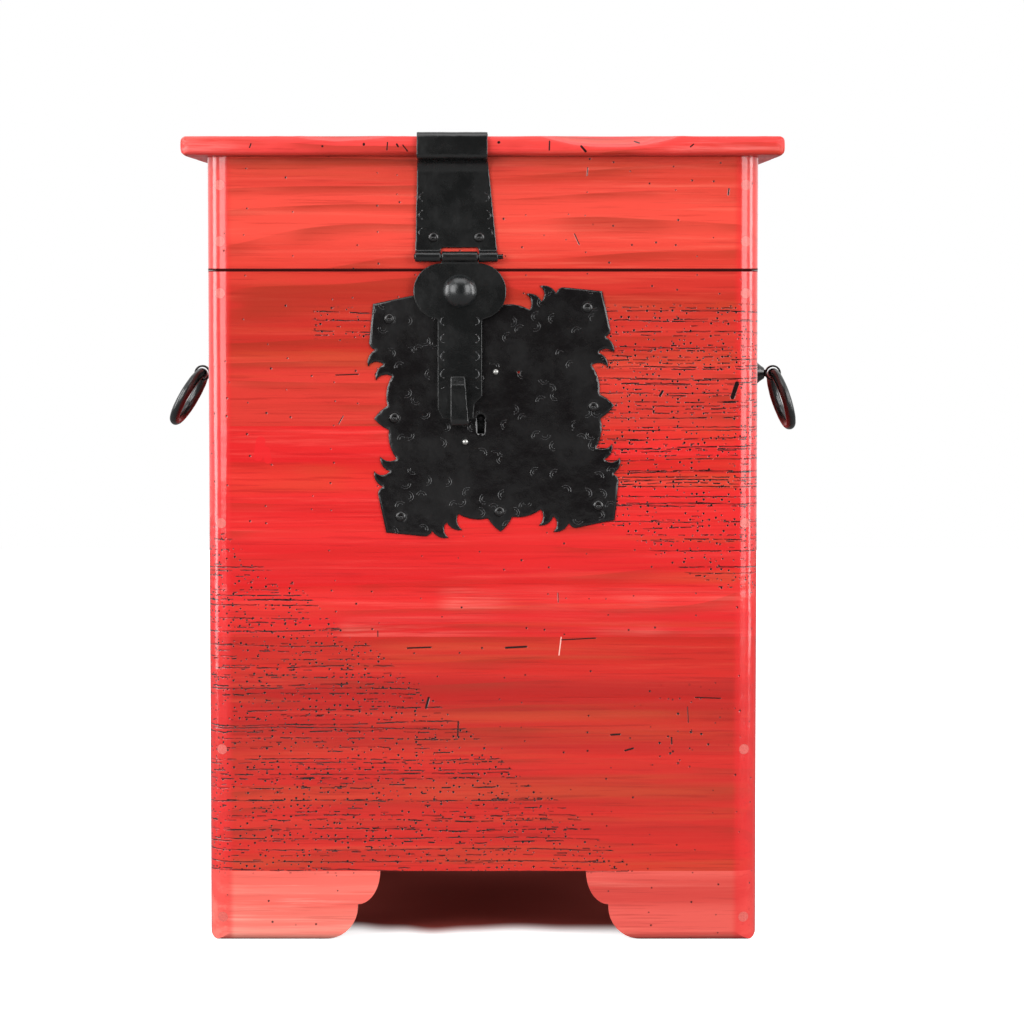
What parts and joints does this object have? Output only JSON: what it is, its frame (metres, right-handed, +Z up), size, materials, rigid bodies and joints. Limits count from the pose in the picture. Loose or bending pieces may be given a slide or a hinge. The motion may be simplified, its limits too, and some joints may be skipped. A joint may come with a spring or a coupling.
{
  "type": "lidded chest",
  "caption": "Tall lidded wooden chest on bracket feet, with an iron hasp, a scalloped lock plate and a ring handle on each side.",
  "frame": {"origin": "on the floor, under the middle of the case", "axes": "+X to the right seen from the front, -Y to the front with the hasp, +Z up"},
  "size_m": [0.5299, 0.4426, 0.6463],
  "materials": {
    "red_pine": "red stain under a gloss varnish, with worn grain",
    "pine_inside": "thin red stain, matt",
    "wooden_plug": "stained end grain under varnish",
    "black_iron": "hammered black wrought iron, satin",
    "bright_steel": "worn bright"
  },
  "bodies": {
    "case": {"front_board_upper": "red_pine", "front_board_middle": "red_pine", "front_board_lower": "red_pine", "back_board_upper": "red_pine", "back_board_middle": "red_pine", "back_board_lower": "red_pine", "left_board_upper": "red_pine", "left_board_middle": "red_pine", "left_board_lower": "red_pine", "right_board_upper": "red_pine", "right_board_middle": "red_pine", "right_board_lower": "red_pine", "foot_front_left": "red_pine", "foot_front_right": "red_pine", "foot_back_left": "red_pine", "foot_back_right": "red_pine", "foot_left_side_front": "red_pine", "foot_left_side_back": "red_pine", "foot_right_side_front": "red_pine", "foot_right_side_back": "red_pine", "bottom_board_front": "pine_inside", "bottom_board_back": "pine_inside", "bottom_cleats": "pine_inside", "case_screws": "bright_steel", "case_plugs": "wooden_plug", "lock_plate": "black_iron", "lock_plate_screws": "black_iron", "lock_rivets": "bright_steel", "lock_case": "black_iron", "lock_bolt_spring": "bright_steel", "left_rosette": "black_iron", "right_rosette": "black_iron", "left_eye": "black_iron", "right_eye": "black_iron", "left_hinge_case_leaf": "black_iron", "right_hinge_case_leaf": "black_iron", "hinge_case_screws": "black_iron"},
    "lid": {"lid_board_front": "red_pine", "lid_board_middle": "red_pine", "lid_board_back": "red_pine", "lid_rail_front": "red_pine", "lid_rail_back": "red_pine", "lid_rail_left": "red_pine", "lid_rail_right": "red_pine", "lid_screws": "bright_steel", "lid_plugs": "wooden_plug", "hasp_strap": "black_iron", "strap_screws": "black_iron", "hasp_pin": "black_iron", "left_hinge_lid_leaf": "black_iron", "right_hinge_lid_leaf": "black_iron", "hinge_pins": "black_iron", "hinge_lid_screws": "black_iron"},
    "hasp": {"hasp_tongue": "black_iron", "hasp_dome_stud": "black_iron", "hasp_staple": "black_iron"},
    "lock_bolt": {"lock_bolt": "bright_steel"},
    "left_ring": {"left_ring": "black_iron"},
    "right_ring": {"right_ring": "black_iron"}
  },
  "joints": [
    {"name": "lid_hinge", "type": "hinge", "parent": "case", "child": "lid", "pos_m": [0, 0.2047, 0.5371], "axis": [-1, 0, 0], "range_deg": [0, 160]},
    {"name": "hasp_swing", "type": "hinge", "parent": "lid", "child": "hasp", "pos_m": [-0.0182, -0.2047, 0.5477], "axis": [-1, 0, 0], "range_deg": [0, 150]},
    {"name": "lock_bolt_slide", "type": "slide", "parent": "case", "child": "lock_bolt", "axis": [-1, 0, 0], "range_m": [0, 0.011]},
    {"name": "left_ring_swing", "type": "hinge", "parent": "case", "child": "left_ring", "pos_m": [-0.2389, 0, 0.4495], "axis": [0, 1, 0], "range_deg": [-45, 165]},
    {"name": "right_ring_swing", "type": "hinge", "parent": "case", "child": "right_ring", "pos_m": [0.2441, 0, 0.4495], "axis": [0, -1, 0], "range_deg": [-40, 184]}
  ]
}
